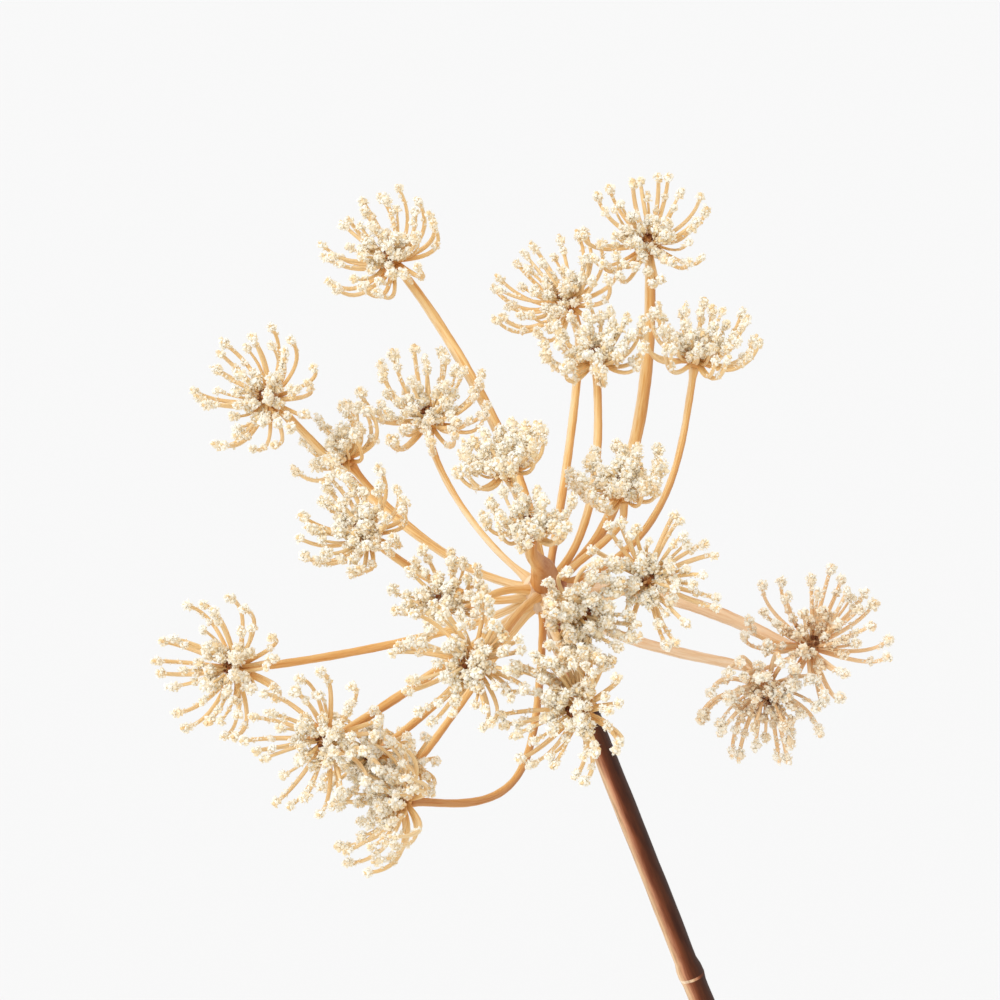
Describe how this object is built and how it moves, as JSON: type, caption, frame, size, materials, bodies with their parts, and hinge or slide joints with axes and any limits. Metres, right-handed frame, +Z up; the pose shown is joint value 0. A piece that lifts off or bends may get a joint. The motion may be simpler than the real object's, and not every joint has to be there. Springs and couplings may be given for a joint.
{
  "type": "dried queen anne's lace in a vase",
  "caption": "Dried Queen Anne's lace: one leaning stem with an open compound umbel of cream florets, standing in a plain narrow-necked stoneware bottle vase.",
  "frame": {"origin": "centre of the vase's flat base, on the surface it stands on", "axes": "+Z up; -Y is the front, the side the flower head faces; +X to the right seen from the front"},
  "size_m": [0.2397, 0.1594, 0.5316],
  "materials": {
    "stoneware": "matt warm white",
    "stem_bark": "satin reddish brown",
    "ray_straw": "dry straw tan",
    "dry_florets": "matt cream"
  },
  "bodies": {
    "root": {"vase": "stoneware", "stem": "stem_bark", "ray_01": "ray_straw", "ray_02": "ray_straw", "ray_03": "ray_straw", "ray_04": "ray_straw", "ray_05": "ray_straw", "ray_06": "ray_straw", "ray_07": "ray_straw", "ray_08": "ray_straw", "ray_09": "ray_straw", "ray_10": "ray_straw", "ray_11": "ray_straw", "ray_12": "ray_straw", "ray_13": "ray_straw", "ray_14": "ray_straw", "ray_15": "ray_straw", "ray_16": "ray_straw", "ray_17": "ray_straw", "ray_18": "ray_straw", "ray_19": "ray_straw", "ray_20": "ray_straw", "ray_21": "ray_straw", "ray_22": "ray_straw", "ray_23": "ray_straw", "ray_24": "ray_straw", "umbellet_01": "dry_florets", "umbellet_02": "dry_florets", "umbellet_03": "dry_florets", "umbellet_04": "dry_florets", "umbellet_05": "dry_florets", "umbellet_06": "dry_florets", "umbellet_07": "dry_florets", "umbellet_08": "dry_florets", "umbellet_09": "dry_florets", "umbellet_10": "dry_florets", "umbellet_11": "dry_florets", "umbellet_12": "dry_florets", "umbellet_13": "dry_florets", "umbellet_14": "dry_florets", "umbellet_15": "dry_florets", "umbellet_16": "dry_florets", "umbellet_17": "dry_florets", "umbellet_18": "dry_florets", "umbellet_19": "dry_florets", "umbellet_20": "dry_florets", "umbellet_21": "dry_florets", "umbellet_22": "dry_florets", "umbellet_23": "dry_florets", "umbellet_24": "dry_florets"}
  },
  "joints": []
}
